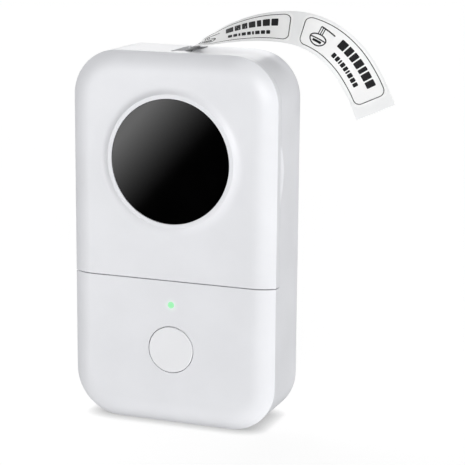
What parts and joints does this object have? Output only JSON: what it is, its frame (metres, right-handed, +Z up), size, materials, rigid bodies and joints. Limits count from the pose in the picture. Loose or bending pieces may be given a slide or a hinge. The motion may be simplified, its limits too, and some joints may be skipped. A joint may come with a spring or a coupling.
{
  "type": "thermal label printer",
  "caption": "Palm-size thermal label printer with a hinged front lid, round black window, power button, status light and a label strip leaving its top slot.",
  "frame": {"origin": "centre of the flat base that the printer stands on", "axes": "+Z up, -Y out of the front with the window and button, +X to the right seen from the front"},
  "size_m": [0.1087, 0.0325, 0.1442],
  "materials": {
    "case_white": "smooth white moulding, soft satin gloss",
    "button_white": "smooth white moulding, satin",
    "window_black": "high gloss smoked window",
    "status_green": "lit pale green light guide",
    "board_green": "solder mask over glass fibre",
    "chip_black": "moulded epoxy",
    "switch_black": "moulded",
    "screw_steel": "bright screw steel",
    "socket_steel": "plain stamped steel",
    "battery_foil": "laminated foil pouch",
    "foam_grey": "adhesive foam",
    "plug_white": "nylon plug",
    "lead_red": "soft insulation",
    "chassis_grey": "moulded grey, fine texture",
    "post_white": "moulded",
    "arm_aluminium": "milled heat sink",
    "head_ceramic": "thermal head substrate",
    "shaft_steel": "ground steel",
    "roller_rubber": "ground silicone rubber",
    "bush_black": "acetal",
    "gear_white": "acetal",
    "motor_steel": "drawn can",
    "pinion_brass": "cut brass",
    "cable_amber": "polyimide ribbon",
    "sensor_black": "moulded",
    "core_board": "pressed paper core",
    "label_paper": "coated thermal paper on liner"
  },
  "bodies": {
    "case": {"rear_shell": "case_white", "front_panel": "case_white", "hinge_pins": "shaft_steel", "tact_switch": "switch_black", "light_guide": "status_green", "status_led": "plug_white", "main_board": "board_green", "board_components": "chip_black", "charging_socket": "socket_steel", "board_screws": "screw_steel", "battery": "battery_foil", "battery_pad": "foam_grey", "battery_plug": "plug_white", "battery_leads": "lead_red", "chassis": "chassis_grey", "front_screws": "screw_steel", "rear_screws": "screw_steel", "chassis_screws": "screw_steel", "head_pivot_pin": "shaft_steel", "head_spring": "shaft_steel", "head_cable": "cable_amber", "platen_bushes": "bush_black", "stepper_motor": "motor_steel", "motor_screws": "screw_steel", "idler_pin": "shaft_steel", "gap_sensor": "sensor_black", "tear_bar": "shaft_steel", "roll_post": "post_white", "label_strip": "label_paper"},
    "lid": {"lid": "case_white", "window_lens": "window_black"},
    "head_arm": {"head_arm": "arm_aluminium", "print_head": "head_ceramic"},
    "roll": {"roll_core": "core_board", "label_roll": "label_paper"},
    "platen": {"platen_roller": "roller_rubber", "platen_shaft": "shaft_steel", "platen_gear": "gear_white"},
    "idler": {"idler_gear": "gear_white"},
    "pinion": {"motor_pinion": "pinion_brass", "motor_shaft": "shaft_steel"},
    "button": {"power_button": "button_white", "switch_plunger": "switch_black"}
  },
  "joints": [
    {"name": "lid_hinge", "type": "hinge", "parent": "case", "child": "lid", "pos_m": [-0.03635, -0.0095, 0.084], "axis": [0, 0, -1], "range_deg": [0, 100]},
    {"name": "head_release", "type": "hinge", "parent": "case", "child": "head_arm", "pos_m": [-0.01251, 0.0015, 0.11438], "axis": [0, -1, 0], "range_deg": [0, 8], "deforming": ["head_spring"]},
    {"name": "roll_spin", "type": "hinge", "parent": "case", "child": "roll", "pos_m": [0, 0.0017, 0.094], "axis": [0, 1, 0], "continuous": true},
    {"name": "platen_spin", "type": "hinge", "parent": "case", "child": "platen", "pos_m": [0.0004, 0.0015, 0.12228], "axis": [0, 1, 0], "continuous": true},
    {"name": "idler_spin", "type": "hinge", "parent": "case", "child": "idler", "pos_m": [0.0116, 0.0112, 0.11798], "axis": [0, 1, 0], "continuous": true},
    {"name": "motor_spin", "type": "hinge", "parent": "case", "child": "pinion", "pos_m": [0.0214, 0.0112, 0.11422], "axis": [0, 1, 0], "continuous": true},
    {"name": "button_press", "type": "slide", "parent": "case", "child": "button", "axis": [0, 1, 0], "range_m": [0, 0.0005], "stiffness_N_per_m": 600}
  ],
  "couplings": [
    {"joint": "head_release", "follows": "lid_hinge", "ratio": 0.08},
    {"joint": "platen_spin", "follows": "roll_spin", "ratio": 5.1429},
    {"joint": "idler_spin", "follows": "roll_spin", "ratio": -3.6735},
    {"joint": "motor_spin", "follows": "roll_spin", "ratio": 7.3469}
  ]
}
